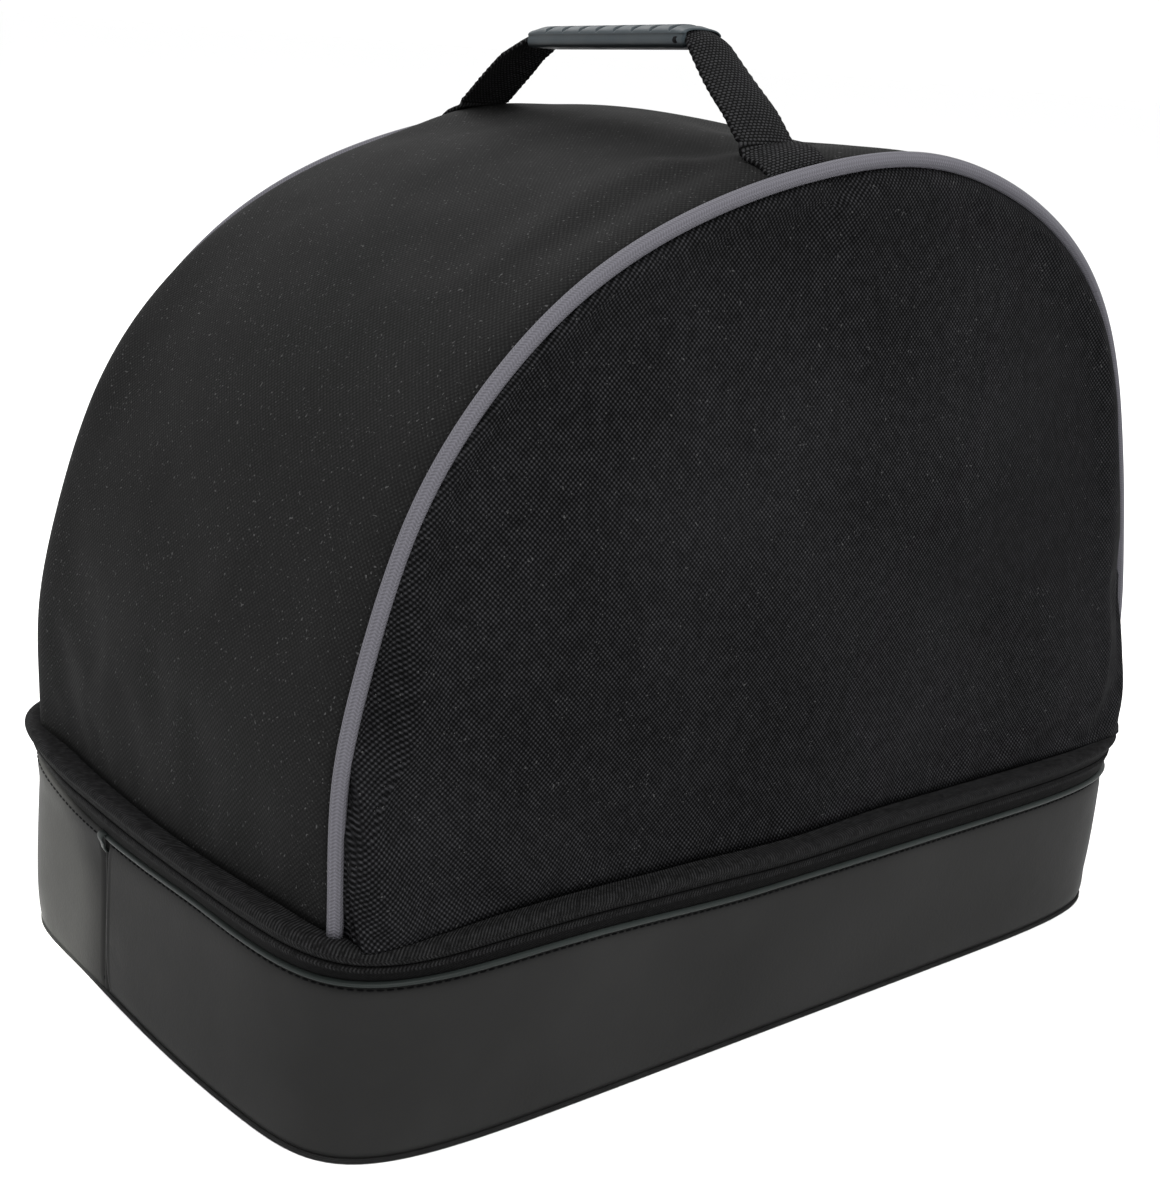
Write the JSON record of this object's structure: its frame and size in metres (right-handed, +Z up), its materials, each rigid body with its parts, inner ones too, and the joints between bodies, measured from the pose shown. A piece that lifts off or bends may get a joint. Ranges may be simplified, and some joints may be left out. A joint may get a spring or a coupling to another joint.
{
  "type": "helmet bag",
  "caption": "D-shaped padded helmet bag with piped edges, zipped to a shallow leathercloth base, with a webbing carry handle on top.",
  "frame": {"origin": "middle of the bag's underside, where it stands on the floor", "axes": "+Z up, -Y out of the front panel, +X to the right seen from the front"},
  "size_m": [0.438, 0.2672, 0.3684],
  "materials": {
    "panel_cloth": "matt woven polyester, diagonal weave",
    "gusset_cloth": "matt woven polyester, fine weave",
    "braid": "matt braided cord",
    "tape": "matt woven tape",
    "coil": "satin",
    "slider": "satin black",
    "leathercloth": "matt leathercloth with fine grain",
    "welt": "matt leathercloth, rolled edge",
    "webbing": "coarse woven webbing",
    "grip": "satin moulded plastic"
  },
  "bodies": {
    "root": {"front_panel": "panel_cloth", "back_panel": "panel_cloth", "gusset": "gusset_cloth", "piping_front": "braid", "piping_back": "braid", "zip_band_upper": "tape", "zip_band_lower": "tape", "zip_coil": "coil", "back_hinge": "tape", "zip_slider": "slider", "base_wrap_front": "leathercloth", "base_wrap_back": "leathercloth", "base_welt": "welt", "base_bottom": "leathercloth", "handle_strap_front": "webbing", "handle_strap_back": "webbing", "handle_grip": "grip"}
  },
  "joints": []
}
